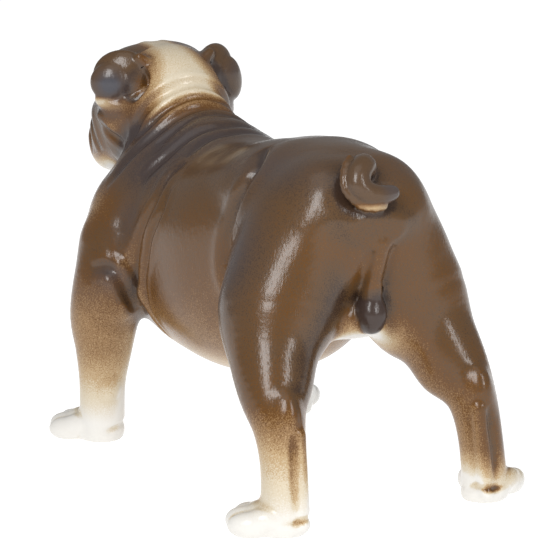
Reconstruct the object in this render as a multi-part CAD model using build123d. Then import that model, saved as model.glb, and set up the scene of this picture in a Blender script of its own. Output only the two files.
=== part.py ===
from build123d import *
import os

# A slip-cast porcelain bulldog, standing.  The dog faces -Y, its left side is +X and it stands on Z = 0.
# Every piece comes out of its own plaster mould as clay, and is luted to the torso with slip before firing.
# All sizes are millimetres.

WALL = 4.0                # clay wall left by the slip in the torso and head moulds
LEG_WALL = 3.5            # the narrower leg moulds are emptied a little sooner
VENT_RADIUS = 3.0         # hole under the belly that lets the kiln's hot air out
VENT_Y = 10.0             # where the vent lies along the belly

# Torso, from the brisket to the rump: (y, lowest z, highest z, half width)
TORSO = [
    (-93, 78, 88, 5),
    (-91, 70, 95, 14),
    (-84, 56, 103, 26),
    (-70, 43.5, 109, 33),
    (-50, 35.5, 113.5, 37),
    (-25, 32.5, 115, 39.5),
    (0, 33, 119, 38.5),
    (25, 41.5, 123.5, 34),
    (45, 56.5, 124.5, 30.5),
    (60, 68.5, 123, 28),
    (70, 77, 118.5, 23),
    (77, 87, 110, 15),
    (79.5, 94, 101, 5),
]

# Neck, rising from the shoulders into the head: (centre x, centre y, centre z, half width, half height)
NECK = [
    (0, -20, 84, 32, 26),
    (1, -40, 92, 29, 26),
    (2, -58, 103, 24.5, 25),
    (3, -78, 116, 21.5, 22),
]
NECK_AXIS = Vector(0, -0.85, 0.53)
NAPE = Vector(0, -60, 133)          # top of the cut where the head is luted on
NECK_CUT = Vector(0, -0.85, 0.52)   # direction the cut faces, into the head
HEAD_SHIFT = 3            # the head is carried this far to the dog's left

# Head, from the flat face to the nape: (y, lowest z, highest z, half width)
HEAD = [
    (-112.5, 107, 114, 4.5),
    (-111, 101, 119, 14),
    (-107, 97, 124, 20),
    (-101, 95, 131, 22.5),
    (-94, 95, 140.5, 23.5),
    (-86, 95, 146, 23),
    (-76, 97, 146.5, 22.5),
    (-66, 100, 142, 21.5),
    (-58, 105, 134, 18.5),
    (-52, 111, 126, 12),
]
JOWL_AT, JOWL_RADII = Vector(15, -97, 108), (10.5, 12.5, 14.5)
NOSE_AT, NOSE_RADII = Vector(0, -110, 121), (7, 4.5, 4.5)
JAW_AT, JAW_RADII = Vector(0, -101, 98), (13, 9.5, 7)

# Fore leg, as level slices of the left one: (z, centre x, centre y, radius across, radius along)
FORE_LEG = [
    (0, 46.5, -62, 11, 13.5),
    (4, 47, -62.5, 12, 15),
    (10, 46.5, -61, 11, 12.5),
    (16, 45, -57, 9.3, 9.8),
    (26, 43.8, -55, 9.4, 9.8),
    (42, 43, -54.3, 12.3, 12.6),
    (56, 41.5, -53.5, 14, 14.4),
    (70, 38.5, -53, 14.3, 17),
    (84, 32.5, -54, 14.6, 19.5),
    (98, 24.5, -53.5, 14, 17.5),
    (108, 18, -54, 12, 13),
    (113, 12, -54, 6, 7),
]

# The right fore paw stands this much further in and back than the left one
RIGHT_STEP_IN, RIGHT_STEP_BACK = 9, 3

# Hind leg, as level slices of the left one
HIND_LEG = [
    (0, 42.5, 82, 11, 13.5),
    (4, 43, 82, 12, 14.5),
    (10, 41, 83, 10, 12.5),
    (17, 39, 84, 8.4, 9),
    (28, 38, 82.5, 8.8, 9.2),
    (38, 36.5, 78.5, 10.6, 11.5),
    (50, 32.5, 70, 14.8, 15),
    (64, 27.8, 61.5, 18.5, 19),
    (80, 24, 57, 19.5, 21),
    (94, 19, 55.5, 19, 20.5),
    (106, 14.5, 55, 16.5, 17.5),
    (115, 9, 53, 10, 11),
    (118, 6, 52, 4, 5),
]

# Toes: four on each paw, spread over an arc in front of the paw's centre
TOE_RADIUS = 5.2
TOE_HEIGHT = 4.4          # of the toes' centres, so that each has a flat underneath
TOE_REACH = 11.5          # from the paw's centre to the toes' centres
TOE_SPREAD = 26           # degrees from one toe to the next
FORE_TOE_OUT, HIND_TOE_OUT = 30, 35          # degrees that the paws turn outwards
LEG_SOLID_BELOW = 22      # the slip fills paws and pasterns

# Ears, folded back as shallow shells on the corners of the skull
EAR_AT, EAR_RADII = Vector(20, -76, 136.3), (12, 5.5, 10.7)
EAR_LEAN, EAR_SWEEP = 8, -33        # degrees that an ear leans outwards, and that it turns to face outwards
EAR_RIM = 2.5             # thickness of the shell around the ear's hollow

# Tail, a short screw lying against the rump: (x, y, z, radius)
TAIL = [
    (1.5, 71, 117, 4.6),
    (3, 76, 120, 4.4),
    (7, 79, 118.2, 5.2),
    (7.8, 80.2, 115, 5.6),
    (5, 81.5, 112.2, 5.2),
    (0, 82.2, 111.4, 4.2),
    (-4.8, 81.8, 112.8, 2.8),
]

# Scrotum, a small sprig under the rump, as level slices: (z, centre y, half width, half depth)
SPRIG = [
    (60.5, 69, 2, 2),
    (62, 69, 4, 4),
    (66, 69.5, 5.5, 5.4),
    (71, 69.8, 4.7, 4.9),
    (76, 70, 3.5, 4.3),
    (84, 70.5, 3, 4),
]

# Holes through the torso's sides under the legs, which let their air out to the vent
LEG_PASSAGE = 5
FORE_PASSAGE_AT, HIND_PASSAGE_AT = (-54, 78), (57, 84)      # (y, z)


def egg(y, low, high, half_width, inset=0.0):
    """A closed upright section across the dog, widest a little above its middle."""
    low, high, half_width = low + inset, high - inset, half_width - inset
    middle = low + 0.52 * (high - low)
    corner = 0.76                     # 0.707 is an ellipse; more is squarer
    up, down = high - middle, middle - low
    points = [
        (0, high),
        (corner * half_width, middle + corner * up),
        (half_width, middle),
        (corner * half_width, middle - corner * down),
        (0, low),
        (-corner * half_width, middle - corner * down),
        (-half_width, middle),
        (-corner * half_width, middle + corner * up),
    ]
    outline = Spline(*[(x, y, z) for x, z in points], periodic=True)
    return make_face(outline)


def barrel(stations, inset=0.0):
    """A closed smooth body through upright sections; inset gives the hollow inside its wall."""
    front, back = stations[0][0] + 2 * inset, stations[-1][0] - 2 * inset
    kept = [s for s in stations if front <= s[0] <= back]
    return loft([egg(*s, inset=inset) for s in kept])


def neck(inset=0.0):
    """The neck's smooth tube, square to its own leaning axis."""
    sections = []
    for x, y, z, half_width, half_height in NECK:
        plane = Plane(origin=(x, y, z), x_dir=(1, 0, 0), z_dir=NECK_AXIS)
        sections.append(plane * Ellipse(half_width - inset, half_height - inset))
    return loft(sections)


def ellipsoid(centre, radii):
    """A ball stretched to its three radii."""
    return Pos(*centre) * scale(Sphere(1), by=radii)


def mirrored(point, side):
    """The point on the dog's left for side 1, and on its right for side -1."""
    return Vector(side * point.X, point.Y, point.Z)


def stepped(slices, inward, back):
    """The slices of a leg whose paw is moved in and back, less and less towards the shoulder."""
    top = slices[-1][0]
    return [
        (z, x - inward * (1 - z / top), y + back * (1 - z / top), across, along)
        for z, x, y, across, along in slices
    ]


def limb(slices, side, toe_out, inset=0.0):
    """A leg lofted through level slices. The lowest ones follow the paw's turn."""
    sections = []
    for z, x, y, across, along in slices:
        turn = side * toe_out if z < LEG_SOLID_BELOW else 0
        plane = Plane(origin=(side * x, y, z)).rotated((0, 0, turn))
        sections.append(plane * Ellipse(across - inset, along - inset))
    return loft(sections)


def toes(slices, side, toe_out):
    """Four rounded toes over the front of the paw, flat underneath."""
    _, x, y, _, _ = slices[0]
    group = []
    for step in (-1.5, -0.5, 0.5, 1.5):
        heading = -90 + side * toe_out + step * TOE_SPREAD
        reach = Vector(TOE_REACH, 0, 0).rotate(Axis.Z, heading)
        group.append(Pos(side * x + reach.X, y + reach.Y, TOE_HEIGHT) * Sphere(TOE_RADIUS))
    return group


def above_floor(shape):
    """The part of a shape above the surface that the dog stands on."""
    return shape & Pos(0, 0, 100) * Box(400, 400, 200)


def leg(slices, side, toe_out, torso):
    """One hollow leg, trimmed to the torso's skin and open towards it."""
    outer = above_floor(limb(slices, side, toe_out) + toes(slices, side, toe_out))
    hollow = limb([s for s in slices if s[0] > LEG_SOLID_BELOW], side, 0, LEG_WALL)
    return outer - torso - hollow


def head_form():
    """The whole outside of the head, cut off square to the neck at the nape."""
    jowls = [ellipsoid(mirrored(JOWL_AT, side), JOWL_RADII) for side in (1, -1)]
    nose = ellipsoid(NOSE_AT, NOSE_RADII)
    jaw = ellipsoid(JAW_AT, JAW_RADII)
    face_side = Plane(origin=NAPE, x_dir=(1, 0, 0), z_dir=NECK_CUT) * Pos(0, 0, 100) * Box(400, 400, 200)
    return Pos(HEAD_SHIFT, 0, 0) * (barrel(HEAD) + jowls + nose + jaw) & face_side


def ear(side, head):
    """A shallow shell, hollow at the back, trimmed to the skull."""
    root = mirrored(EAR_AT, side) + Vector(HEAD_SHIFT, 0, 0)
    place = Pos(*root) * Rot(0, side * EAR_LEAN, side * EAR_SWEEP)
    shell = scale(Sphere(1), by=EAR_RADII)
    scoop = Pos(0, 1.5 * EAR_RIM, 0) * scale(Sphere(1), by=tuple(radius - EAR_RIM for radius in EAR_RADII))
    return place * (shell - scoop) - head


def tail(torso):
    """Round sections along the curl, joined by balls so that it turns smoothly."""
    pieces = []
    for (x0, y0, z0, r0), (x1, y1, z1, r1) in zip(TAIL, TAIL[1:]):
        start, end = Vector(x0, y0, z0), Vector(x1, y1, z1)
        plane = Plane(origin=(start + end) / 2, z_dir=end - start)
        pieces.append(plane * Cone(r0, r1, (end - start).length))
        pieces.append(Pos(x1, y1, z1) * Sphere(r1))
    return Pos(*TAIL[0][:3]) * Sphere(TAIL[0][3]) + pieces - torso


def scrotum(torso):
    sections = [Pos(0, y, z) * Ellipse(half_width, half_depth) for z, y, half_width, half_depth in SPRIG]
    return loft(sections) - torso


def crossways(centre, radius):
    """A round bar across the dog, for a pair of holes through the torso's sides."""
    y, z = centre
    return Pos(0, y, z) * Rot(0, 90, 0) * Cylinder(radius, 200)


skull = head_form()
torso_form = barrel(TORSO) + neck() - skull
torso_hollow = barrel(TORSO, WALL) + neck(WALL)
vent = Pos(0, VENT_Y, 30) * Cylinder(VENT_RADIUS, 40)
leg_passages = crossways(FORE_PASSAGE_AT, LEG_PASSAGE) + crossways(HIND_PASSAGE_AT, LEG_PASSAGE)

parts = {
    "torso": torso_form - torso_hollow - vent - leg_passages,
    "head": skull - Pos(HEAD_SHIFT, 0, 0) * barrel(HEAD, WALL),
    "tail": tail(torso_form),
    "scrotum": scrotum(torso_form),
}
fore_legs = {1: FORE_LEG, -1: stepped(FORE_LEG, RIGHT_STEP_IN, RIGHT_STEP_BACK)}
for name, side in (("left", 1), ("right", -1)):
    parts[f"fore_{name}_leg"] = leg(fore_legs[side], side, FORE_TOE_OUT, torso_form)
    parts[f"hind_{name}_leg"] = leg(HIND_LEG, side, HIND_TOE_OUT, torso_form)
    parts[f"{name}_ear"] = ear(side, skull)

# The origin is under the middle of the whole dog, on the surface that it stands on
boxes = [shape.bounding_box() for shape in parts.values()]
middle_x = (min(box.min.X for box in boxes) + max(box.max.X for box in boxes)) / 2
middle_y = (min(box.min.Y for box in boxes) + max(box.max.Y for box in boxes)) / 2
to_origin = Pos(-middle_x, -middle_y, 0)

os.makedirs("parts", exist_ok=True)
for name, shape in parts.items():
    export_step(to_origin * shape, f"parts/{name}.step")
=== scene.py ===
"""The looks of a glazed porcelain bulldog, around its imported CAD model.

The whole skin is modelled as clay in a grid of signed distances, in millimetres, with muscles and folds
added and cut as a sculptor would.  It is then meshed once and parted where two parts' own shapes are
equally near, so that each piece stands for its CAD node and shares its rims with its neighbours.
"""

import math

import bpy
import numpy as np
from mathutils import Matrix, Vector


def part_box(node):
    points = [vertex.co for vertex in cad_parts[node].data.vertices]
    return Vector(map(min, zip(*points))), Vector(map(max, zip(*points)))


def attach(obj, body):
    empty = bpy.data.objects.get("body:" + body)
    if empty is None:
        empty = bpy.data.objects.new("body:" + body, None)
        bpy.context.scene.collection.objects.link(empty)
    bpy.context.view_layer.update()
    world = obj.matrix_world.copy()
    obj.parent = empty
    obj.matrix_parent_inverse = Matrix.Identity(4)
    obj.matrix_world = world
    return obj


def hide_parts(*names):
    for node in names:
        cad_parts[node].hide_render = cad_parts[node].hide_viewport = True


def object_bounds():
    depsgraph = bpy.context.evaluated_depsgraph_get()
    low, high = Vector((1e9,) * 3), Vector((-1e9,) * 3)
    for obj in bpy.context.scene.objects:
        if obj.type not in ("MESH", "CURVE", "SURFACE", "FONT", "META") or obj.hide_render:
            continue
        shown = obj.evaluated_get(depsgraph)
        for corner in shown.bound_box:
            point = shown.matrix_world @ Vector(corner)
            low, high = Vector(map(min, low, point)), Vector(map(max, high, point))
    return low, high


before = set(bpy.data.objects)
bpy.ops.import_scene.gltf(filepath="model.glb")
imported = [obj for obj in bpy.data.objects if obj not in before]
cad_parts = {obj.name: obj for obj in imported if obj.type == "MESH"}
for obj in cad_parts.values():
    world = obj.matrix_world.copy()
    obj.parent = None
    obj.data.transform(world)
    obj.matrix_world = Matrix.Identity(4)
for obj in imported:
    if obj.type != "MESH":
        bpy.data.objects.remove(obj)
cad_low, cad_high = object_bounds()

# The sculpture's own millimetres: the dog faces -y, its left is +x, and z = 0 is the floor
DESIGN_HEIGHT = 147.24
DESIGN_CHEST_Y = -93.0             # front of the torso
UNIT = (cad_high[2] - cad_low[2]) / DESIGN_HEIGHT
torso_low, torso_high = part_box("torso")
ORIGIN = np.array([
    (torso_low.x + torso_high.x) / 2,
    torso_low.y - DESIGN_CHEST_Y * UNIT,
    cad_low[2],
])

GRAIN = 0.75          # spacing of the clay grid
GRID_LOW, GRID_HIGH = (-70, -122, -3), (70, 102, 153)
EMPTY = 50.0                      # the field's value in empty air
FAR = 60.0                        # the distance to a part before its shapes are counted


# ---------------------------------------- clay

def smooth_min(a, b, soft):
    """The smaller of two distances, rounded over a width of soft where they meet."""
    mix = np.clip(0.5 + 0.5 * (b - a) / soft, 0, 1)
    return b + (a - b) * mix - soft * mix * (1 - mix)


def turned(degrees):
    """The rotation matrix of turns about x, y and z, in that order."""
    x, y, z = (math.radians(angle) for angle in degrees)
    return np.array(Matrix.Rotation(z, 3, "Z") @ Matrix.Rotation(y, 3, "Y") @ Matrix.Rotation(x, 3, "X"))


def ball(centre, radii, turn=(0, 0, 0)):
    """A ball stretched to three radii and turned."""
    centre, radii, axes = np.array(centre, float), np.array(radii, float), turned(turn)
    reach = np.sqrt(((axes * radii) ** 2).sum(1))

    def distance(x, y, z):
        local = [
            (x - centre[0]) * axes[0, i] + (y - centre[1]) * axes[1, i] + (z - centre[2]) * axes[2, i]
            for i in range(3)
        ]
        near = np.sqrt(sum((local[i] / radii[i]) ** 2 for i in range(3)))
        slope = np.sqrt(sum((local[i] / radii[i] ** 2) ** 2 for i in range(3)))
        return near * (near - 1) / np.maximum(slope, 1e-6)

    return centre - reach, centre + reach, distance


def run_distance(start, end, x, y, z):
    """How far along a straight run each point lies, from 0 to 1, and its distance from the run."""
    run = end - start
    px, py, pz = x - start[0], y - start[1], z - start[2]
    along = np.clip((px * run[0] + py * run[1] + pz * run[2]) / max(run @ run, 1e-9), 0, 1)
    square = (px - along * run[0]) ** 2 + (py - along * run[1]) ** 2 + (pz - along * run[2]) ** 2
    return along, np.sqrt(square)


def bone(start, start_radius, end, end_radius):
    """A round limb that tapers smoothly from one point to another."""
    start, end = np.array(start, float), np.array(end, float)
    thickest = max(start_radius, end_radius)

    def distance(x, y, z):
        along, away = run_distance(start, end, x, y, z)
        ease = along * along * (3 - 2 * along)
        return away - start_radius - (end_radius - start_radius) * ease

    return np.minimum(start, end) - thickest, np.maximum(start, end) + thickest, distance


def limb(stations):
    """A round limb along a smooth line through stations (x, y, z, radius)."""
    line = smooth_line(stations, 5)
    centres, radii = line[:, :3], line[:, 3]

    def distance(x, y, z):
        nearest = None
        for start, end, start_radius, end_radius in zip(centres[:-1], centres[1:], radii[:-1], radii[1:]):
            along, away = run_distance(start, end, x, y, z)
            away = away - start_radius - (end_radius - start_radius) * along
            nearest = away if nearest is None else np.minimum(nearest, away)
        return nearest

    return (centres - radii[:, None]).min(0), (centres + radii[:, None]).max(0), distance


def barrel(stations, squareness=2.3):
    """A body lofted along y through sections (y, lowest z, highest z, half width)."""
    table = np.array(stations, float)
    places = table[:, 0]
    fine = np.linspace(places[0], places[-1], 400)
    lows, highs, halves = (catmull(places, table[:, column], fine) for column in (1, 2, 3))
    widest = table[:, 3].max()

    def distance(x, y, z):
        low, high, half = (np.interp(y, fine, values) for values in (lows, highs, halves))
        middle = low + 0.52 * (high - low)
        up = np.abs(z - middle) / np.where(z > middle, high - middle, middle - low)
        out = np.abs(x) / half
        ring = (out ** squareness + up ** squareness) ** (1 / squareness)
        skin = (ring - 1) * np.minimum(half, (high - low) / 2)
        beyond = np.maximum(np.maximum(places[0] - y, y - places[-1]), 0)
        return np.where(beyond > 0, np.hypot(np.maximum(skin, 0), beyond), skin)

    return (-widest, places[0], table[:, 1].min()), (widest, places[-1], table[:, 2].max()), distance


def catmull(knots, values, at):
    """Values along a smooth curve through the knots."""
    slopes = np.gradient(values, knots)
    left = np.clip(np.searchsorted(knots, at) - 1, 0, len(knots) - 2)
    gap = knots[left + 1] - knots[left]
    t = np.clip((at - knots[left]) / gap, 0, 1)
    rise = slopes[left] * (t ** 3 - 2 * t ** 2 + t) + slopes[left + 1] * (t ** 3 - t ** 2)
    step = 3 * t ** 2 - 2 * t ** 3
    return values[left] * (1 - step) + values[left + 1] * step + gap * rise


def smooth_line(points, count=8):
    """More points along a smooth curve through a few."""
    points = np.array(points, float)
    knots = np.arange(len(points))
    fine = np.linspace(0, len(points) - 1, count * (len(points) - 1) + 1)
    return np.stack([catmull(knots, points[:, axis], fine) for axis in range(points.shape[1])], 1)


class Clay:
    """A grid of signed distances to the skin, negative inside, with each part's own shapes kept apart."""

    def __init__(self, low, high, grain):
        self.low, self.grain = np.array(low, float), grain
        counts = np.ceil((np.array(high) - self.low) / grain).astype(int) + 1
        self.field = np.full(counts, EMPTY, np.float32)
        self.axes = [self.low[axis] + grain * np.arange(counts[axis]) for axis in range(3)]
        self.own = {}

    def window(self, low, high, margin):
        """The stretch of grid around a box, and its x, y and z as arrays that broadcast."""
        first = np.floor((np.array(low) - margin - self.low) / self.grain).astype(int)
        last = np.ceil((np.array(high) + margin - self.low) / self.grain).astype(int) + 1
        where = tuple(slice(max(a, 0), max(b, 0)) for a, b in zip(first, last))
        x, y, z = (axis[cut].astype(np.float32) for axis, cut in zip(self.axes, where))
        return where, x[:, None, None], y[None, :, None], z[None, None, :]

    def add(self, part, shape, soft):
        """Adds a shape to the clay, as one of the part's own."""
        self.own.setdefault(part, []).append((shape[2], soft))
        where, x, y, z = self.window(shape[0], shape[1], soft + 2)
        self.field[where] = smooth_min(self.field[where], shape[2](x, y, z), soft)

    def cut(self, shape, soft):
        """Takes a shape away from the clay."""
        where, x, y, z = self.window(shape[0], shape[1], soft + 2)
        self.field[where] = -smooth_min(-self.field[where], shape[2](x, y, z), soft)

    def groove(self, points, width, depth, span, lip=0.0):
        """A groove where a curtain drawn along x through the points (y, z) meets the skin.

        Span holds the groove to a stretch of x, and lip raises the skin on both sides of it."""
        line = smooth_line(points)
        reach = width * (6 if lip else 3)
        where, x, y, z = self.window((span[0], *line.min(0)), (span[1], *line.max(0)), reach)
        nearest, progress = line_distance(line, y, z)
        ends = np.clip((x - span[0]) / 3 + 0.5, 0, 1) * np.clip((span[1] - x) / 3 + 0.5, 0, 1)
        change = pressed(nearest, progress, width, depth, lip, 1.4)
        self.field[where] += (change * ends).astype(np.float32)

    def crease(self, points, width, depth, lip=0.0):
        """A groove pressed into the skin along the line nearest the points."""
        line = self.on_skin(smooth_line(points))
        reach = width * (5 if lip else 3)
        where, x, y, z = self.window(line.min(0), line.max(0), reach)
        nearest = np.full(self.field[where].shape, 1e3)
        progress = np.zeros_like(nearest)
        for index, (start, end) in enumerate(zip(line[:-1], line[1:])):
            along, away = run_distance(start, end, x, y, z)
            progress = np.where(away < nearest, (index + along) / (len(line) - 1), progress)
            nearest = np.minimum(nearest, away)
        change = pressed(nearest, progress, width, depth, lip, 1.2)
        self.field[where] += change.astype(np.float32)

    def own_distance(self, part, points):
        """Distances from the points to one part's own shapes."""
        x, y, z = points.T
        distance = np.full(len(points), FAR)
        for shape, soft in self.own[part]:
            distance = smooth_min(distance, shape(x, y, z), soft)
        return distance

    def sample(self, points):
        """The field at any points, by straight interpolation."""
        place = (points - self.low) / self.grain
        place = np.clip(place, 0, np.array(self.field.shape) - 1.001)
        cell = place.astype(int)
        part = place - cell
        total = np.zeros(len(points))
        for corner in np.ndindex(2, 2, 2):
            weight = np.prod(np.where(corner, part, 1 - part), axis=1)
            total += weight * self.field[tuple((cell + corner).T)]
        return total

    def on_skin(self, points):
        """The points moved onto the skin."""
        for _ in range(4):
            slope = self.slope(points, self.grain)
            push = self.sample(points) / np.maximum((slope ** 2).sum(1), 0.2)
            points = points - np.clip(push, -2, 2)[:, None] * slope
        return points

    def slope(self, points, reach):
        """The field's gradient at the points."""
        steps = reach * np.eye(3)
        return np.stack([self.sample(points + s) - self.sample(points - s) for s in steps], 1) / (2 * reach)


def pressed(nearest, progress, width, depth, lip, lip_spread):
    """How far a groove sinks the skin: deepest on its line, fading at both ends, with a lip on each side."""
    fading = np.sqrt(np.clip(np.minimum(progress, 1 - progress) * 5, 0, 1))
    change = depth * np.exp(-(nearest / width) ** 2)
    if lip:
        change = change - lip * np.exp(-((nearest - 2.4 * width) / (lip_spread * width)) ** 2)
    return change * fading


def line_distance(line, u, v):
    """Distance from flat points to a line of many short runs, and how far along it the nearest place is."""
    nearest, progress = None, None
    for index, (start, end) in enumerate(zip(line[:-1], line[1:])):
        run = end - start
        along = np.clip(((u - start[0]) * run[0] + (v - start[1]) * run[1]) / max(run @ run, 1e-9), 0, 1)
        away = np.hypot(u - start[0] - along * run[0], v - start[1] - along * run[1])
        place = (index + along) / (len(line) - 1)
        if nearest is None:
            nearest, progress = away, place
        else:
            closer = away < nearest
            nearest, progress = np.where(closer, away, nearest), np.where(closer, place, progress)
    return nearest, progress


# ---------------------------------------- the sculpture

HEAD_X = 3.0                      # the head is carried this far to the dog's left
SIDES = (1, -1)                   # the dog's left and right
NAMED_SIDES = (("left", 1), ("right", -1))
RIGHT_STEP = np.array([9.0, 3.0])                # how far in and back the right fore paw stands
SHOULDER_Z = 113.0                # where that step has faded out
STIFLE_STEP = 2.5                 # how much further forward the left knee is held
HOCK_STEP = 1.6                   # how much further out the right hind paw stands
THIGH_SLIM = 1.3                  # how much thinner the right thigh is above its knee

# Torso, from the brisket to the rump: (y, lowest z, highest z, half width)
TORSO = [
    (-93, 80, 84, 3), (-91, 71, 93, 14), (-84, 57, 102, 25), (-70, 44, 109, 32), (-50, 36, 113, 36),
    (-25, 33, 114, 38.5), (0, 33.2, 118.5, 38), (25, 41, 123, 33.5), (45, 56.5, 124.5, 30),
    (60, 69, 122.5, 27), (70, 77, 118.5, 22), (76, 86, 112, 16), (79, 93, 104, 8),
]


def mirrored(side, x, y, z):
    """A point given for the dog's left, on either side."""
    return np.array([side * x, y, z], float)


def on_head(side, x, y, z):
    """A point given for the left of a head that faces straight ahead, on either side of the real head."""
    return mirrored(side, x, y, z) + [HEAD_X, 0, 0]


def lay_rope(clay, part, line, start_radius, end_radius, soft):
    """A rope of short bones along a line, each tapering from one radius to the other."""
    for start, end in zip(line[:-1], line[1:]):
        clay.add(part, bone(start, start_radius, end, end_radius), soft)


def model_torso(clay):
    clay.add("torso", barrel(TORSO), 4)
    clay.add("torso", bone((0, -24, 86), 27, (HEAD_X, -70, 112), 21.5), 10)
    clay.add("torso", ball((0, -30, 92), (29, 24, 21), (25, 0, 0)), 8)
    clay.add("torso", ball((0, -76, 66), (22, 15, 22)), 9)                 # brisket
    clay.add("torso", ball((0, 60, 66), (10, 10, 6)), 6)                   # groin
    for side in SIDES:
        clay.add("torso", ball(mirrored(side, 14, 30, 109), (14, 24, 10), (0, side * 12, 0)), 8)   # loin
        clay.add("torso", ball(mirrored(side, 12, 63, 104), (12, 13, 15)), 8)                      # rump


def model_hind_leg(clay, part, side):
    def at(x, y, z):
        forward = STIFLE_STEP * math.exp(-((z - 55) / 20) ** 2) * (side > 0)
        outward = HOCK_STEP * (1 - z / 45) * (side < 0 and z < 45)
        return mirrored(side, x + 0.6 * forward + outward, y - forward, z)

    slim = THIGH_SLIM * (side < 0)
    clay.add(part, ball(at(17.5, 55, 88), (18.5, 21, 25), (0, -side * 8, 0)), 9)
    clay.add(part, ball(at(24.5, 57, 72), (19.5 - slim, 20, 26), (0, -side * 8, 0)), 9)
    shank = ((27, 60, 68, 17.5), (31.5, 67, 57, 14.5), (35, 74, 46, 11.8), (37.2, 80, 35, 8.8),
             (38.2, 83, 22, 7.8), (39, 84, 4, 8))
    clay.add(part, limb([(*at(x, y, z), radius - slim * math.exp(-((z - 57) / 16) ** 2))
                         for x, y, z, radius in shank]), 7)
    clay.add(part, ball(at(29.5, 71, 50), (9, 9, 13)), 7)                           # calf
    clay.add(part, ball(at(36.5, 86, 39), (3.6, 4, 8)), 5)                          # point of the hock
    clay.add(part, bone(at(34.5, 88.5, 34), 2.4, at(35.5, 90.5, 4), 2.7), 1.6)      # tendon
    clay.crease([at(37.6, 91, 35), at(38.6, 92, 24), at(39, 92, 9)], 1.2, 0.75)     # beside the tendon
    model_paw(clay, part, side, at(42, 82, 0), toe_out=35)


def model_fore_leg(clay, part, side):
    def at(x, y, z):
        inward, back = RIGHT_STEP * (1 - z / SHOULDER_Z) * (side < 0)
        return mirrored(side, x - inward, y + back, z)

    clay.add(part, ball(at(25, -53, 92), (14, 19, 21), (0, -side * 18, 0)), 9)      # shoulder blade
    clay.add(part, ball(at(34.5, -55, 76), (13.5, 17, 20), (0, -side * 8, 0)), 8)   # upper arm
    clay.add(part, ball(at(29, -66, 84), (10, 10, 14)), 8)                          # point of shoulder
    clay.add(part, ball(at(42, -43.5, 60), (8.5, 8.5, 11)), 5)                      # elbow
    forearm = ((38, -53, 74, 13), (41, -53, 60, 13.6), (42.8, -54, 48, 13), (43.2, -54.5, 36, 10.8),
               (44, -55, 22, 8.8), (44.5, -55.5, 4, 8.6))
    clay.add(part, limb([(*at(x, y, z), radius) for x, y, z, radius in forearm]), 6)
    clay.add(part, ball(at(44, -47.5, 21), (3.2, 2.5, 3.5)), 2.5)                   # carpal pad
    model_paw(clay, part, side, at(47, -61, 0), toe_out=30)


def model_paw(clay, part, side, place, toe_out):
    """A broad paw with four knuckled toes and a heel pad, turned out by toe_out degrees."""
    def at(out, ahead, up):
        angle = math.radians(side * toe_out)
        across = np.array([math.cos(angle), math.sin(angle), 0]) * side * out
        forward = np.array([math.sin(angle), -math.cos(angle), 0]) * ahead
        return place + across + forward + [0, 0, up]

    turn = (0, 0, side * toe_out)
    clay.add(part, ball(at(-0.5, 2, 4.5), (9, 10, 6.4), turn), 3)
    clay.add(part, ball(at(-2.5, -6, 2.5), (7.2, 5, 4.6), turn), 1.6)               # heel
    for out, ahead, size in ((-7.2, 7, 4.2), (-2.6, 10.2, 4.6), (2.7, 9.8, 4.6), (7.5, 6.2, 4.2)):
        spread = (0, 0, side * (toe_out + 2.2 * out))
        clay.add(part, ball(at(out, ahead - 1, 3.7), (size, 7.5, size + 0.3), spread), 0.7)
        clay.add(part, ball(at(0.85 * out, ahead - 6, 6), (size - 0.6, 6.5, 3.8), spread), 1.0)
    clay.crease([at(-8, -9.5, 4.5), at(-4, -12, 6.5), at(1, -11.5, 6), at(4, -9, 4.5)], 1.0, 1.1)


# Drawn for the left: points (x, y, z), then width and depth
FACE_CREASES = [
    # Frown and furrow of the skull
    ([(2.5, -104, 131), (4, -102, 138), (9, -99, 143)], 1.3, 0.9),
    ([(0.4, -106, 129), (0.4, -100, 139), (0.4, -88, 146)], 1.6, 0.7),
    # Beside the nose, and on the cheek
    ([(4, -110, 125.5), (10.5, -107, 121.5), (16.5, -103, 113), (19, -99, 103)], 1.3, 1.0),
    ([(15, -104, 124), (19.5, -98, 121), (23.5, -92, 114), (24, -89, 105)], 1.4, 1.0),
    # Under the nose, and the mouth
    ([(0, -113, 115.5), (0, -113, 109), (1.5, -112, 103)], 1.1, 1.4),
    ([(2, -112, 103), (7, -111, 100.5), (12, -108, 97.5)], 1.1, 1.2),
    # The pouch under the ear
    ([(28, -80, 120), (25.5, -77.5, 115), (21.5, -75, 112.5), (18, -74, 113)], 1.3, 1.2),
]


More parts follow.
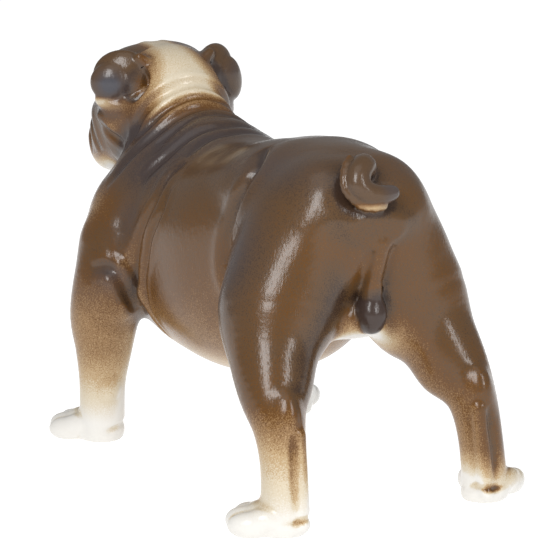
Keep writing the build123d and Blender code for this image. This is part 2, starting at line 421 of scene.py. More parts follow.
def model_head(clay):
    def lump(side, centre, radii, soft, turn=(0, 0, 0)):
        x, y, z = centre
        turn = (turn[0], side * turn[1], side * turn[2])
        clay.add("head", ball(on_head(side, x, y, z), radii, turn), soft)

    lump(1, (0, -78, 126), (22, 24, 20.5), 6)                       # skull
    for side in SIDES:
        lump(side, (6, -88, 136), (15, 12, 10), 4, (0, 4, 0))       # flat top of the skull
    lump(1, (0, -98, 112), (17, 13, 15), 6)                         # muzzle
    lump(1, (0, -92, 101), (15, 15, 8), 5)                          # jaw
    for side in SIDES:
        lump(side, (18, -83, 119), (8.5, 13, 17), 5)                # cheek
        lump(side, (18.5, -92, 114), (7.5, 9, 14), 4)               # side of the flew
        lump(side, (9.5, -95, 136), (8.5, 8, 6.5), 4)               # brow
        lump(side, (13, -100, 108.5), (10.2, 11.5, 13), 2, (0, -6, 0))  # flew
        lump(side, (15, -96, 103.5), (8, 10, 7), 3, (0, 10, 0))
        lump(side, (5.5, -108.5, 114), (6.5, 4.5, 6), 2)            # whisker pad
    lump(1, (0, -104.5, 98.5), (10, 8, 6), 1.5)                     # chin
    lump(1, (0, -105, 125), (8, 5, 6), 3)                           # bridge
    for side in SIDES:
        def strip(start, start_radius, end, end_radius, soft):
            clay.add("head", bone(on_head(side, *start), start_radius, on_head(side, *end), end_radius), soft)

        strip((0, -107, 127.5), 2.6, (9, -103.5, 122.5), 2.4, 1.5)      # roll over the nose
        strip((9, -103.5, 122.5), 2.4, (14, -101, 114), 1.6, 2)
        clay.cut(ball(on_head(side, 10, -106.5, 129), (4.4, 4, 3.6)), 2)                    # eye socket
        lump(side, (10, -102.6, 129), (3.5, 3.5, 3.3), 0.6)                                 # eyeball
        strip((6, -105.2, 130.8), 1.3, (13.5, -102.5, 131), 1.5, 1)     # eyelids
        strip((6.5, -105.6, 126.6), 1.1, (13.5, -102.8, 126.8), 1.2, 1)
        lump(side, (21.5, -79, 122), (6.5, 6.5, 6), 3)              # under the ear
        fold = smooth_line([(27, -80, 120), (22, -76, 115.5), (16, -72, 119), (12, -69.5, 126)], 4)
        lay_rope(clay, "head", [on_head(side, *point) for point in fold], 2.3, 2, 1.5)
    lump(1, (0, -110.5, 120.5), (6.6, 3.8, 4.4), 0.8)               # nose
    for line, width, depth in FACE_CREASES:
        for side in SIDES:
            clay.crease([on_head(side, *point) for point in line], width, depth, lip=0.3)
    for side in SIDES:
        clay.cut(ball(on_head(side, 3, -114, 120), (1.7, 2.2, 1.6), (0, side * 20, 0)), 0.8)


def model_ear(clay, part, side):
    """A rose ear: a broad flap that faces out and back, its tip a smooth dome over a rolled lower rim."""
    def at(x, y, z):
        return on_head(side, x, y, z)

    facing = (0, 0, -side * 33)
    droop = 2 * (side < 0)                       # the right ear's tip hangs lower
    clay.add(part, ball(at(19.5, -76.5, 135.5), (11.7, 4.8, 10.2), facing), 2)
    clay.cut(ball(at(16.8, -68.6, 132.5), (5.4, 4.4, 6.6), facing), 2.4)                # the open ear
    clay.add(part, ball(at(18, -74, 132.8), (7, 3.6, 7.5), facing), 2)                  # its floor
    hang = (0, -side * 12 * droop, facing[2])
    tip = ball(at(25 + 0.4 * droop, -76.2, 133.6 - droop), (7.8 - 0.5 * droop, 3.9, 7.4 + droop), hang)
    clay.add(part, tip, 1)
    rim = smooth_line([at(27.5, -79, 127), at(23.5, -75.5, 124.6), at(18, -72, 125.4), at(13, -69.8, 129)], 4)
    back = smooth_line([at(15, -71, 143), at(9.8, -69, 138), at(9.2, -68.4, 132.5), at(12.5, -69.6, 128)], 4)
    for line, thickness in ((rim, 2.7), (back, 1.8)):
        lay_rope(clay, part, line, thickness, thickness, 1.2)
    clay.add(part, bone(at(14.6, -70.6, 137), 1.1, at(15.6, -71, 130), 1.3), 1)
    clay.add(part, bone(at(18.6, -72.4, 133), 1.0, at(19, -72.4, 128.5), 1.3), 1)


def model_tail(clay):
    """A short screw tail, curled round to the dog's left, with a thin rim outside its thick part."""
    clay.cut(ball((4, 87.6, 115), (10.5, 6.5, 9.5)), 4)
    curl = smooth_line([(1.5, 71, 117), (3, 76, 120), (6.6, 79, 118.2), (7.6, 80.4, 115), (5, 81.6, 112.2),
                        (0, 82.2, 111), (-4.6, 81.8, 111.2)], 3)
    ends = list(zip(curl[:-1], curl[1:]))
    thick = np.interp(np.linspace(0, 1, len(curl)), (0, 0.15, 0.5, 0.8, 1), (4.4, 4, 4.3, 3.3, 2.6))
    middle = np.array([1.5, 79, 117])
    for index, (start, end) in enumerate(ends):
        clay.add("tail", bone(start, thick[index], end, thick[index + 1]), 2 if index < 3 else 0.6)
    for index, (start, end) in enumerate(ends[4:-3], 4):
        outward = [(point - middle) / np.linalg.norm(point - middle) for point in (start, end)]
        lift = thick[index] + 0.7
        rim = [point + lift * away - [0, 1.5, 0] for point, away in zip((start, end), outward)]
        clay.add("tail", bone(rim[0], 1.3, rim[1], 1.3), 0.5)


def model_scrotum(clay):
    clay.add("torso", ball((-1, 60, 65), (13, 11, 7)), 5)                   # between the thighs
    clay.add("torso", ball((1, 75, 102), (14, 5, 5), (0, -8, 0)), 7)        # shelf under the tail
    clay.add("torso", bone((-2, 76.5, 93), 4.4, (-2, 71.5, 75), 3.2), 2.5)
    for side in SIDES:
        clay.add("scrotum", ball((-2 + 1.5 * side, 72, 67), (3.3, 5, 5.8), (0, side * 8, 0)), 2)
    clay.add("scrotum", bone((-2, 72.5, 69), 3.6, (-2, 73.5, 76), 2.4), 3)
    clay.crease([(2.4, 79, 92), (3.4, 77, 85), (3.2, 73, 77)], 1.9, 1.1)
    clay.crease([(-8.2, 79, 92), (-6.9, 77, 86), (-6.8, 73, 77)], 1.9, 1.1)


# Each fold's line over the nape, from the dog's right to its left: points (x, y, z), then depth and width
NAPE_FOLDS = [
    ([(-19, -66, 112), (-14, -61, 124), (1, -57, 133),
      (14, -58, 130), (24, -62, 121), (32, -64, 108)], 1.5, 1.5),
    ([(-16, -58, 119), (2, -53, 128), (16, -54, 124), (27, -58, 114)], 0.8, 1.2),
    ([(-20, -56, 112), (-14, -51, 121), (0, -48, 125),
      (19, -49, 119), (32, -51, 109), (39, -57, 97)], 1.6, 1.7),
    ([(-16, -45, 116), (-3, -43, 123), (10, -43, 122), (25, -43, 114)], 0.7, 1.3),
    ([(-19, -39, 114), (-1, -33, 120), (12, -34, 118), (25, -34, 111), (34, -38, 101)], 1.5, 1.8),
    ([(-12, -26, 116), (2, -25, 117), (12, -25, 116), (22, -22, 111)], 0.8, 1.4),
]
# Behind the shoulder, drawn for the left: points (y, z), then depth and width
SHOULDER_CREASES = [
    ([(-20, 110), (-23, 105), (-23, 98), (-27, 89), (-31, 80), (-34, 68), (-36, 56)], 1.3, 1.5),
    ([(-17, 102), (-15, 94), (-20, 84), (-23, 75), (-28, 64), (-30, 52), (-28, 42)], 1.1, 1.3),
]
FLANK_CREASE = [(31, 121), (39, 116), (38, 109), (34, 100), (30, 88), (30, 76), (36, 64)]     # (y, z)
THIGH_CREASE = [(40, 97), (33, 88), (29, 80)]
# Drawn for the left, (x, y, z): around the elbow, and the long hollow behind the shoulder's muscle
ELBOW_CREASE = [(51, -46, 68), (48, -40, 70), (44, -36, 66), (41, -33, 58), (37, -35, 49)]
SHOULDER_HOLLOW = [(36, -38, 104), (40, -38, 93), (43, -40, 83)]


def fold_skin(clay):
    """The folds and creases, where the glaze pools and shade is painted in."""
    for line, depth, width in NAPE_FOLDS:
        clay.crease(line, width, depth, lip=0.35 * depth)
    for side in SIDES:
        span = (0, 70) if side > 0 else (-70, 0)
        for line, depth, width in SHOULDER_CREASES:
            clay.groove(line, width, depth, span, lip=0.4 * depth)
        clay.groove(FLANK_CREASE, 1.9, 2.0, span, lip=0.6)
        clay.groove(THIGH_CREASE, 1.7, 1.6, span)
        clay.crease([mirrored(side, *point) for point in ELBOW_CREASE], 1.6, 1.1, lip=0.5)
        clay.crease([mirrored(side, *point) for point in SHOULDER_HOLLOW], 4, 1.2)


def sculpt():
    clay = Clay(GRID_LOW, GRID_HIGH, GRAIN)
    model_torso(clay)
    for name, side in NAMED_SIDES:
        model_hind_leg(clay, f"hind_{name}_leg", side)
        model_fore_leg(clay, f"fore_{name}_leg", side)
    model_head(clay)
    for name, side in NAMED_SIDES:
        model_ear(clay, f"{name}_ear", side)
    model_tail(clay)
    model_scrotum(clay)
    fold_skin(clay)
    floor = clay.axes[2][None, None, :].astype(np.float32)
    clay.field = np.maximum(clay.field, -floor)
    return clay


# ---------------------------------------- the skin

def skin_mesh(clay):
    """One mesh of triangles where the field is zero: a vertex in each crossed cell, moved onto the skin."""
    field = clay.field
    inside = field < 0
    cells = tuple(np.array(field.shape) - 1)

    def corner_view(array, corner):
        return array[tuple(slice(c, c + n) for c, n in zip(corner, cells))]

    corners = list(np.ndindex(2, 2, 2))
    count = sum(corner_view(inside, corner).astype(np.int8) for corner in corners)
    crossed = (count > 0) & (count < 8)
    cell = np.argwhere(crossed)
    total, weight = np.zeros((len(cell), 3)), np.zeros(len(cell))
    for corner in corners:
        for axis in range(3):
            if corner[axis]:
                continue
            other = tuple(1 if i == axis else c for i, c in enumerate(corner))
            a, b = field[tuple((cell + corner).T)], field[tuple((cell + other).T)]
            cut = (a < 0) != (b < 0)
            share = np.where(cut, a / np.where(cut, a - b, 1), 0)
            place = np.tile(np.array(corner, float), (len(cell), 1))
            place[:, axis] += share
            total += place * cut[:, None]
            weight += cut
    verts = clay.low + clay.grain * (cell + total / weight[:, None])
    for _ in range(2):
        slope = clay.slope(verts, 0.5 * clay.grain)
        push = clay.sample(verts) / np.maximum((slope ** 2).sum(1), 0.2)
        verts -= np.clip(push, -0.3, 0.3)[:, None] * slope * clay.grain

    number = -np.ones(cells, np.int64)
    number[crossed] = np.arange(len(cell))
    quads = []
    for axis in range(3):
        first = [slice(None)] * 3
        second = [slice(None)] * 3
        first[axis], second[axis] = slice(0, -1), slice(1, None)
        near, far = inside[tuple(first)], inside[tuple(second)]
        edges = np.argwhere(near != far)
        one, two = (np.eye(3, dtype=int)[i] for i in range(3) if i != axis)
        ring = [number[tuple((edges - shift).T)] for shift in (one + two, two, 0 * one, one)]
        quad = np.stack(ring, 1)
        outward = near[tuple(edges.T)] ^ (axis == 1)
        quad[~outward] = quad[~outward][:, ::-1]
        quads.append(quad)
    quads = np.concatenate(quads)
    shorter = (
        np.linalg.norm(verts[quads[:, 0]] - verts[quads[:, 2]], axis=1)
        < np.linalg.norm(verts[quads[:, 1]] - verts[quads[:, 3]], axis=1)
    )
    a, b, c, d = quads.T
    halves = np.where(shorter, [a, b, c, a, c, d], [a, b, d, b, c, d]).T
    return verts, halves.reshape(-1, 3)


def linked(count, edges):
    """For each vertex, the lowest vertex that the edges join it to."""
    root = np.arange(count)
    while True:
        lower = np.minimum(root[edges[:, 0]], root[edges[:, 1]])
        found = root.copy()
        for end in (0, 1):
            np.minimum.at(found, edges[:, end], lower)
            np.minimum.at(found, root[edges[:, end]], lower)
        found = found[found]
        if (found == root).all():
            return root
        root = found


def main_shell(verts, triangles):
    """The largest connected surface, without stray specks."""
    root = linked(len(verts), np.concatenate([triangles[:, :2], triangles[:, 1:]]))
    roots, sizes = np.unique(root, return_counts=True)
    kept = root == roots[sizes.argmax()]
    number = np.cumsum(kept) - 1
    return verts[kept], number[triangles[kept[triangles[:, 0]]]]


# ---------------------------------------- colours

def fade(value, start, end):
    """0 before start and 1 past end, smooth in between."""
    t = np.clip((value - start) / (end - start), 0, 1)
    return t * t * (3 - 2 * t)


def patch(verts, centre, radii):
    """A soft round spot: 1 at its centre, almost 0 past twice its radii."""
    away = (verts - np.array(centre, float)) / np.array(radii, float)
    return np.exp(-(away ** 2).sum(1))


def leg_tones(verts, normals):
    """The tones of the fore and hind legs: white paws that fade up through cream and gold."""
    x, _, z = verts.T
    nx, ny, _ = normals.T
    inner = fade(-np.sign(x) * nx, 0.0, 0.8)
    fore = np.interp(z, (7, 17, 26, 36, 50, 60, 76), (0.0, 0.13, 0.28, 0.44, 0.49, 0.64, 0.8))
    fore -= 0.12 * inner * fade(z, 70, 40)
    left = np.interp(z, (5, 10, 19, 28, 36, 45, 70), (0.0, 0.07, 0.17, 0.28, 0.48, 0.72, 0.84))
    left += 0.22 * fade(ny, 0.1, 0.9) * fade(nx, 0.2, -0.5) * fade(z, 12, 24)
    # The right hind leg is brown further down
    right = np.interp(z, (3, 9, 14, 20, 31, 44, 70), (0.0, 0.2, 0.45, 0.68, 0.74, 0.76, 0.82))
    hind = np.where(x > 0, left, right)
    hind -= 0.2 * inner * fade(z, 100, 70) * fade(ny, 1.2, 0.2)
    return fore, hind


def head_stripe(verts):
    """The cream stripe from the nape over the skull, narrower on the forehead."""
    x, y, z = verts.T
    away = np.abs(x - HEAD_X - 1.5)
    half = np.interp(z, (118, 134, 146), (19, 12, 7))
    stripe = fade(away, half + 8, half - 5) * fade(z, 112, 128)
    return stripe * (fade(away, 9 - 0.2 * (y + 78), 3) * (y < -78) + (y >= -78))


def spray_spots(verts, tone, slate):
    """Sprays the spots that both sides of the dog share, and the nose, onto tone and slate."""
    for side in SIDES:
        slate += 0.6 * patch(verts, mirrored(side, 42, 48, 90), (12, 14, 20))           # thigh
        slate += 0.6 * patch(verts, mirrored(side, 46, -40, 66), (6, 6, 5))             # elbow
        slate += 0.5 * patch(verts, mirrored(side, 41, -38, 92), (7, 5, 12))            # behind the shoulder
        tone -= 0.12 * patch(verts, mirrored(side, 47, -36, 74), (8, 6, 5))
        tone += 0.35 * patch(verts, mirrored(side, 45, 74, 12.5), (4, 5, 2.2))          # hind knuckles
        tone += 0.3 * patch(verts, mirrored(side, 48, -68, 12), (5, 4, 2.2))            # fore knuckles
        over_heel = patch(verts, mirrored(side, 38, 92.5, 5.4), (5, 3, 0.9))
        tone += (0.27 - 0.13 * side) * over_heel
        slate += 0.3 * patch(verts, mirrored(side, 24, 48, 120), (14, 14, 8))           # top of the rump
        slate += 1.2 * patch(verts, on_head(side, 10, -105, 129), (3.4, 4, 2.8))        # eye
        tone += 0.5 * patch(verts, on_head(side, 10, -104, 129), (7, 8, 6))
    nose = 1.3 * patch(verts, (HEAD_X, -112.5, 120.5), (6, 4, 4.2))
    slate += nose
    tone += nose


def pool_glaze_and_shade(clay, verts, normals, tone, folds):
    """Darkens tone in the creases, as pooled glaze and painted shade, most of all in the nape's folds, and
    thins it over the ridges.
    """
    reach = 2.5
    cavity = 1 - clay.sample(verts + reach * normals) / reach
    ridge = 1 + clay.sample(verts - reach * normals) / reach
    # Painted shade and pooled glaze in the hollows, strongest in the nape's folds and between the toes
    tone += np.clip(cavity, 0, 1) * fade(tone, 0, 0.3) * (0.25 + 0.3 * folds + 0.45 * fade(tone, 0.7, 0.4))
    tone += 0.8 * np.clip(cavity - 0.1, 0, 1) * fade(verts[:, 2], 26, 12)               # between the toes
    tone += 0.2 * np.clip(cavity - 0.1, 0, 1)
    tone -= 0.12 * np.clip(ridge, 0, 1)


def painted(clay, verts, normals, near):
    """The sprayed colours, with painted shade in the creases, one row for each vertex.

    Tone runs from 0, bare white, to 1, the darkest brown, and slate is the blue-grey over it."""
    x, y, z = verts.T
    nx, ny, _ = normals.T

    def share(*parts, soft=1):
        own = np.min([near[part] for part in parts], axis=0)
        rest = np.min([near[part] for part in near if part not in parts], axis=0)
        return fade(rest - own, -4 * soft, 6 * soft)

    # Brown back and sides, paler underneath
    tone = np.interp(z, (33, 40, 47, 62, 96, 112), (0.2, 0.26, 0.5, 0.66, 0.79, 0.85))
    tone -= 0.3 * fade(-ny, 0.2, 0.95) * fade(np.abs(x), 26, 8) * fade(z, 104, 92)
    fore_tone, hind_tone = leg_tones(verts, normals)
    tone = tone + share("fore_left_leg", "fore_right_leg") * (fore_tone - tone)
    tone = tone + share("hind_left_leg", "hind_right_leg") * (hind_tone - tone)
    tone -= 0.9 * patch(verts, (-1, 62, 58), (15, 15, 8))                   # groin
    tone -= 0.06 * fade(ny, 0.3, 0.9) * fade(z, 60, 75) * fade(z, 104, 92) * fade(y, 60, 68)    # buttocks
    tone -= 0.3 * patch(verts, (43, -60, 88), (10, 10, 12))                 # point of the left shoulder
    tone -= 0.16 * patch(verts, (HEAD_X, -55, 130), (14, 6, 7))             # nape

    # The head: a cream stripe over the skull and a white muzzle
    head = share("head")
    stripe = head_stripe(verts)
    muzzle = patch(verts, (HEAD_X, -106, 108), (15, 11, 12))
    tone += 0.12 * head * fade(np.sign(x - HEAD_X) * nx, 0.3, 0.9) * fade(z, 100, 108) * fade(y, -74, -80)
    jowls = head * (0.5 * fade(z, 108, 97) + 0.34 * fade(z, 128, 114) * fade(ny, -0.3, 0.5))
    tone -= 0.67 * stripe * fade(y, -42, -58)
    tone -= head * 0.9 * np.clip(muzzle * 1.5, 0, 1)
    tone -= jowls

    # Slate over the neck and back
    slate = np.zeros(len(verts))
    ears = share("left_ear", "right_ear", soft=0.5)
    coat = (1 - stripe) * (1 - ears) * (1 - head)
    folds = fade(y, -12, -30) * fade(z, 92, 106) * coat
    tone += 0.1 * folds
    slate += 0.3 * folds + 0.2 * fade(z, 108, 120) * coat

    # Ears, tail and scrotum
    for side in SIDES:
        slate += (0.8 + 0.4 * side) * ears * patch(verts, on_head(side, 26.5, -73, 134 - side), (5.5, 7, 5))
    tone -= 0.72 * ears * fade(z, 129, 126.5) * fade(x, HEAD_X - 4, HEAD_X + 4)
    tail = share("tail", soft=0.4)
    tone += tail * (0.86 - tone)
    slate += 0.5 * tail * fade(x, 3, -4)
    tone -= 0.5 * tail * fade(z, 109.5, 107)
    scrotum = share("scrotum", soft=0.3)
    tone += scrotum * (1 - tone)
    slate += 0.2 * scrotum

    spray_spots(verts, tone, slate)
    # Pooled glaze and painted shade in the creases, paler glaze over the ridges
    pool_glaze_and_shade(clay, verts, normals, tone, folds)
    return np.stack([np.clip(tone, 0, 1), np.clip(slate, 0, 1)], 1)


# ---------------------------------------- parts

def settled(label, edges):
    """The labels with each part's stray islands given to the part around them."""
    label = label.copy()
    root = linked(len(label), edges[label[edges[:, 0]] == label[edges[:, 1]]])
    stray = np.zeros(len(label), bool)
    for own in np.unique(label):
        roots, sizes = np.unique(root[label == own], return_counts=True)
        stray |= (label == own) & (root != roots[sizes.argmax()])
    both = np.vstack([edges, edges[:, ::-1]])
    while stray.any():
        taken = both[stray[both[:, 0]] & ~stray[both[:, 1]]]
        label[taken[:, 0]] = label[taken[:, 1]]
        stray[taken[:, 0]] = False
    return label


def parted(rows, triangles, near):
    """All rows, and each part's faces, of the skin cut where two parts' own shapes are equally near."""
    names = list(near)
    distance = np.stack([near[name] for name in names])
    sides = np.concatenate([triangles[:, [0, 1]], triangles[:, [1, 2]], triangles[:, [2, 0]]])
    label = settled(distance.argmin(0), np.unique(np.sort(sides, axis=1), axis=0))
    corners = label[triangles]
    whole = (corners == corners[:, :1]).all(1)
    faces = [[tuple(face) for face in triangles[whole & (corners[:, 0] == own)]] for own in range(len(names))]
    rows = list(rows)
    crossings = {}

    def between(a, b):
        a, b = min(a, b), max(a, b)
        if (a, b) not in crossings:
            near_a = distance[label[b], a] - distance[label[a], a]
            near_b = distance[label[a], b] - distance[label[b], b]
            part = np.clip(near_a / max(near_a + near_b, 1e-6), 0.1, 0.9)
            crossings[a, b] = len(rows)
            rows.append(rows[a] * (1 - part) + rows[b] * part)
        return crossings[a, b]

    for triangle in triangles[~whole]:
        for _ in range(3):
            if label[triangle[1]] == label[triangle[2]]:
                break
            triangle = np.roll(triangle, 1)
        a, b, c = triangle
        ab = between(a, b)
        ca = between(c, a)
        if label[b] == label[c]:
            faces[label[a]].append((a, ab, ca))
            faces[label[b]] += [(ab, b, c), (ab, c, ca)]
        else:
            bc = between(b, c)
            middle = len(rows)
            rows.append((rows[a] + rows[b] + rows[c]) / 3)
            faces[label[a]] += [(a, ab, middle), (a, middle, ca)]
            faces[label[b]] += [(b, bc, middle), (b, middle, ab)]
            faces[label[c]] += [(c, ca, middle), (c, middle, bc)]
    return np.array(rows), dict(zip(names, faces))


def capped(rows, faces):
    """One part on its own, with a fan across each open rim so that its mesh is closed."""
    used, faces = np.unique(np.array(faces), return_inverse=True)
    rows, faces = rows[used], faces.reshape(-1, 3)
    sides = np.concatenate([faces[:, [0, 1]], faces[:, [1, 2]], faces[:, [2, 0]]])
    there, back = sides @ [len(rows), 1], sides @ [1, len(rows)]
    rim = sides[~np.isin(there, back)]
    root = linked(len(rows), rim)[rim[:, 0]]
    for start in np.unique(root):
        loop = rim[root == start]
        fan = np.stack([loop[:, 1], loop[:, 0], np.full(len(loop), len(rows))], 1)
        rows = np.vstack([rows, rows[loop[:, 0]].mean(0)])
        faces = np.vstack([faces, fan])
    return rows, faces


# ---------------------------------------- the materials

# The colours sprayed on, from bare white porcelain to the darkest brown, and the slate blue-grey over them
GLAZE_COLOURS = (
    (0.00, (0.70, 0.68, 0.64)),
    (0.15, (0.58, 0.50, 0.37)),
    (0.30, (0.43, 0.30, 0.16)),
    (0.47, (0.255, 0.145, 0.060)),
    (0.66, (0.112, 0.045, 0.008)),
    (0.84, (0.090, 0.049, 0.022)),
    (1.00, (0.042, 0.023, 0.014)),
)
SLATE = (0.060, 0.058, 0.068)
SPECKLE = {"brown_glaze": 1.7, "faded_glaze": 1.8, "dark_glaze": 0.8}
CLOUDINESS = 0.22
ROUGHNESS = 0.5
COAT_IOR, COAT_ROUGHNESS = 1.43, 0.22
PEEL_HEIGHT = 0.00013             # metres
MIX_A, MIX_B, MIX_RESULT = 6, 7, 2             # a Mix node's colour sockets, which share their names


def node(tree, kind, inputs=(), **settings):
    """A shader node with its settings made and its inputs linked or set."""
    made = tree.nodes.new(kind)
    for key, value in settings.items():
        setattr(made, key, value)
    for key, value in dict(inputs).items():
        if isinstance(value, bpy.types.NodeSocket):
            tree.links.new(value, made.inputs[key])
        else:
            made.inputs[key].default_value = value
    return made


def glaze(name, speckle):
    """Glossy coloured porcelain glaze: sprayed speckle, soft clouds of colour and a faint orange peel."""
    material = bpy.data.materials.new(name)
    material.use_nodes = True
    tree = material.node_tree
    tree.nodes.clear()
    place = node(tree, "ShaderNodeTexCoord").outputs["Object"]
    tone = node(tree, "ShaderNodeAttribute", attribute_name="tone").outputs["Fac"]
    slate = node(tree, "ShaderNodeAttribute", attribute_name="slate").outputs["Fac"]

    def noise(scale, detail):
        inputs = {"Vector": place, "Scale": scale, "Detail": detail}
        return node(tree, "ShaderNodeTexNoise", inputs).outputs["Fac"]

    def maths(operation, *values):
        return node(tree, "ShaderNodeMath", dict(enumerate(values)), operation=operation).outputs["Value"]

    # Speckle shows most where the spray is half thick
    body = maths("MULTIPLY", tone, maths("SUBTRACT", 1.25, tone))
    grain = maths("MULTIPLY", maths("SUBTRACT", noise(2400, 2), 0.5), maths("MULTIPLY", body, speckle))
    cloud = maths("MULTIPLY", maths("SUBTRACT", noise(38, 3), 0.5), CLOUDINESS)
    cloud = maths("MULTIPLY", cloud, maths("MINIMUM", maths("MULTIPLY", tone, 1.6), 1.0))
    shade = maths("ADD", tone, maths("ADD", grain, cloud))
    ramp = node(tree, "ShaderNodeValToRGB", {"Fac": shade})
    ramp.color_ramp.interpolation = "EASE"
    for index, (stop, colour) in enumerate(GLAZE_COLOURS):
        if index < 2:
            element = ramp.color_ramp.elements[index]
            element.position = stop
        else:
            element = ramp.color_ramp.elements.new(stop)
        element.color = (*colour, 1)
    blue = maths("MULTIPLY", slate, maths("ADD", 0.75, maths("MULTIPLY", noise(300, 4), 0.5)))
    mix_inputs = {"Factor": blue, MIX_A: ramp.outputs["Color"], MIX_B: (*SLATE, 1)}
    mixed = node(tree, "ShaderNodeMix", mix_inputs, data_type="RGBA")

    # Fine upright strokes in the clay break up the highlights
    drawn = node(tree, "ShaderNodeMapping", {"Vector": place, "Scale": (1.0, 1.0, 0.2)}).outputs["Vector"]
    strokes = node(tree, "ShaderNodeTexNoise", {"Vector": drawn, "Scale": 1300, "Detail": 2}).outputs["Fac"]
    peel = node(tree, "ShaderNodeBump", {
        "Height": maths("ADD", noise(420, 2), maths("MULTIPLY", strokes, 0.8)),
        "Strength": 0.6,
        "Distance": PEEL_HEIGHT,
    })
    shader = node(tree, "ShaderNodeBsdfPrincipled", {
        "Base Color": mixed.outputs[MIX_RESULT],
        "Roughness": maths("ADD", ROUGHNESS, maths("MULTIPLY", noise(90, 2), 0.08)),
        "Specular IOR Level": 0.0,
        "Coat Weight": 1.0,
        "Coat IOR": COAT_IOR,
        "Coat Roughness": COAT_ROUGHNESS,
        "Normal": peel.outputs["Normal"],
        "Coat Normal": peel.outputs["Normal"],
    })
    node(tree, "ShaderNodeOutputMaterial", {"Surface": shader.outputs["BSDF"]}, target="ALL")
    return material


# ---------------------------------------- the pieces

NODE_SLOTS = {
    "torso": "brown_glaze",
    "head": "brown_glaze",
    "fore_left_leg": "faded_glaze",
    "fore_right_leg": "faded_glaze",
    "hind_left_leg": "faded_glaze",
    "hind_right_leg": "faded_glaze",
    "left_ear": "dark_glaze",
    "right_ear": "dark_glaze",
    "tail": "dark_glaze",
    "scrotum": "dark_glaze",
}


def make_piece(name, rows, faces, material):
    """A mesh in the CAD's frame, shaded with the whole skin's normals so that no seam shows."""
    mesh = bpy.data.meshes.new(name)
    mesh.from_pydata((ORIGIN + UNIT * rows[:, :3]).tolist(), [], faces.tolist())
    for column, attribute in ((6, "tone"), (7, "slate")):
        layer = mesh.attributes.new(attribute, "FLOAT", "POINT")
        layer.data.foreach_set("value", np.ascontiguousarray(rows[:, column], np.float32))
    mesh.shade_smooth()
    normals = rows[:, 3:6] / np.maximum(np.linalg.norm(rows[:, 3:6], axis=1, keepdims=True), 1e-6)
    mesh.normals_split_custom_set_from_vertices(normals.tolist())
    mesh.materials.append(material)
    piece = bpy.data.objects.new(name, mesh)
    bpy.context.scene.collection.objects.link(piece)
    return piece


def make_dog():
    clay = sculpt()
    verts, triangles = main_shell(*skin_mesh(clay))
    normals = clay.slope(verts, clay.grain)
    normals /= np.maximum(np.linalg.norm(normals, axis=1, keepdims=True), 1e-6)
    near = {part: clay.own_distance(part, verts) for part in clay.own}
    paint = painted(clay, verts, normals, near)
    rows, faces = parted(np.hstack([verts, normals, paint]), triangles, near)
    materials = {name: glaze(name, speckle) for name, speckle in SPECKLE.items()}
    for cad_node, slot in NODE_SLOTS.items():
        piece = make_piece(f"{cad_node}_porcelain", *capped(rows, faces[cad_node]), materials[slot])
        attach(piece, "root")
        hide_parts(cad_node)


# ---------------------------------------- the studio

DOG_MIDDLE = (0, 0, 75)
FLOOR_SIZE = 30.0                 # metres to each side
FLOOR_GAP = 0.0002                # keeps the paws clear of the floor
PAPER_GREYS = (0.40, 0.44)
CAMERA_AZIMUTH, CAMERA_ELEVATION = 152.8, 11.5
CAMERA_DISTANCE = 900
CAMERA_AIM = (3.9, -7.9)          # how far right of the dog's middle and above it the camera aims
CAMERA_ROLL = -0.8
LENS, SENSOR_WIDTH = 158.1, 36.0

# Name, azimuth, elevation, distance, width, height and radiance
SOFTBOXES = (
    ("key", 132, 34, 1.3, 0.42, 0.8, 10.5),
    ("strip", 198, 24, 1.4, 0.22, 0.8, 11.0),
    ("overhead", 150, 72, 1.5, 1.2, 1.0, 0.8),
)


def at(*design_point):
    """A place in the world for a point in the sculpture's millimetres."""
    return Vector(ORIGIN + UNIT * np.array(design_point, float))


def toward(azimuth, elevation):
    """The direction in which something stands, seen from the dog: azimuth 0 is in front of its face."""
    azimuth, elevation = math.radians(azimuth), math.radians(elevation)
    flat = math.cos(elevation)
    return Vector((math.sin(azimuth) * flat, -math.cos(azimuth) * flat, math.sin(elevation)))


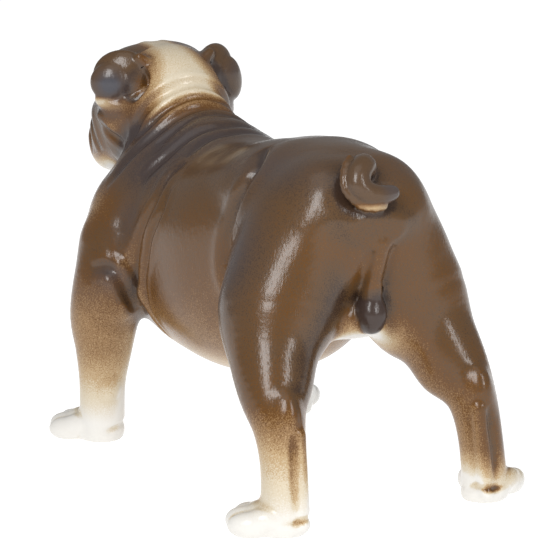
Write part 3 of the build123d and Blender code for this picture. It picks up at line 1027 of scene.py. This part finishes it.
def make_floor():
    """A plain pale floor that runs out to the horizon."""
    size = FLOOR_SIZE
    mesh = bpy.data.meshes.new("floor")
    low = cad_low[2] - FLOOR_GAP
    corners = [(-size, -size, low), (size, -size, low), (size, size, low), (-size, size, low)]
    mesh.from_pydata(corners, [], [(0, 1, 2, 3)])
    floor = bpy.data.objects.new("floor", mesh)
    bpy.context.scene.collection.objects.link(floor)
    material = bpy.data.materials.new("white_sweep")
    material.use_nodes = True
    tree = material.node_tree
    shader = tree.nodes["Principled BSDF"]
    place = node(tree, "ShaderNodeTexCoord").outputs["Object"]
    paper = node(tree, "ShaderNodeTexNoise", {"Vector": place, "Scale": 3.0, "Detail": 2.0})
    tint = node(tree, "ShaderNodeValToRGB", {"Fac": paper.outputs["Fac"]})
    for element, grey in zip(tint.color_ramp.elements, PAPER_GREYS):
        element.color = (grey, grey, grey, 1)
    tree.links.new(tint.outputs["Color"], shader.inputs["Base Color"])
    shader.inputs["Roughness"].default_value = 0.9
    shader.inputs["Specular IOR Level"].default_value = 0.0
    shader.inputs["Emission Color"].default_value = (1, 1, 1, 1)
    shader.inputs["Emission Strength"].default_value = 0.9
    mesh.materials.append(material)


def make_softbox(name, azimuth, elevation, distance, width, height, radiance):
    """A flat soft light that faces the middle of the dog."""
    light = bpy.data.lights.new(name, "AREA")
    light.shape = "RECTANGLE"
    light.size, light.size_y = width, height
    light.energy = radiance * math.pi * width * height
    box = bpy.data.objects.new(name, light)
    direction = toward(azimuth, elevation)
    box.location = at(*DOG_MIDDLE) + distance * direction
    box.rotation_euler = direction.to_track_quat("Z", "Y").to_euler()
    bpy.context.scene.collection.objects.link(box)


def light_studio():
    for softbox in SOFTBOXES:
        make_softbox(*softbox)
    world = bpy.data.worlds.new("studio")
    world.use_nodes = True
    background = world.node_tree.nodes["Background"]
    background.inputs["Color"].default_value = (0.97, 0.985, 1.0, 1)
    background.inputs["Strength"].default_value = 0.3
    bpy.context.scene.world = world
    bpy.context.scene.view_settings.view_transform = "Standard"


def aim_camera():
    """The camera behind the dog's left haunch, far enough back to keep the legs from spreading."""
    back = toward(CAMERA_AZIMUTH, CAMERA_ELEVATION)
    azimuth = math.radians(CAMERA_AZIMUTH)
    right = Vector((math.cos(azimuth), math.sin(azimuth), 0))
    up = back.cross(right)
    eye = at(*DOG_MIDDLE) + CAMERA_DISTANCE * UNIT * back
    aim = at(*DOG_MIDDLE) + UNIT * (CAMERA_AIM[0] * right + CAMERA_AIM[1] * up)
    back = (eye - aim).normalized()
    right = Vector((0, 0, 1)).cross(back).normalized()
    up = back.cross(right)
    roll = math.radians(CAMERA_ROLL)
    across = right * math.cos(roll) + up * math.sin(roll)
    upward = up * math.cos(roll) - right * math.sin(roll)
    camera = bpy.data.cameras.new("camera")
    camera.lens, camera.sensor_width = LENS, SENSOR_WIDTH
    camera.clip_end = 60.0
    viewer = bpy.data.objects.new("camera", camera)
    viewer.matrix_world = Matrix((across, upward, back)).transposed().to_4x4()
    viewer.location = eye
    bpy.context.scene.collection.objects.link(viewer)
    bpy.context.scene.camera = viewer


aim_camera()
make_dog()
make_floor()
light_studio()
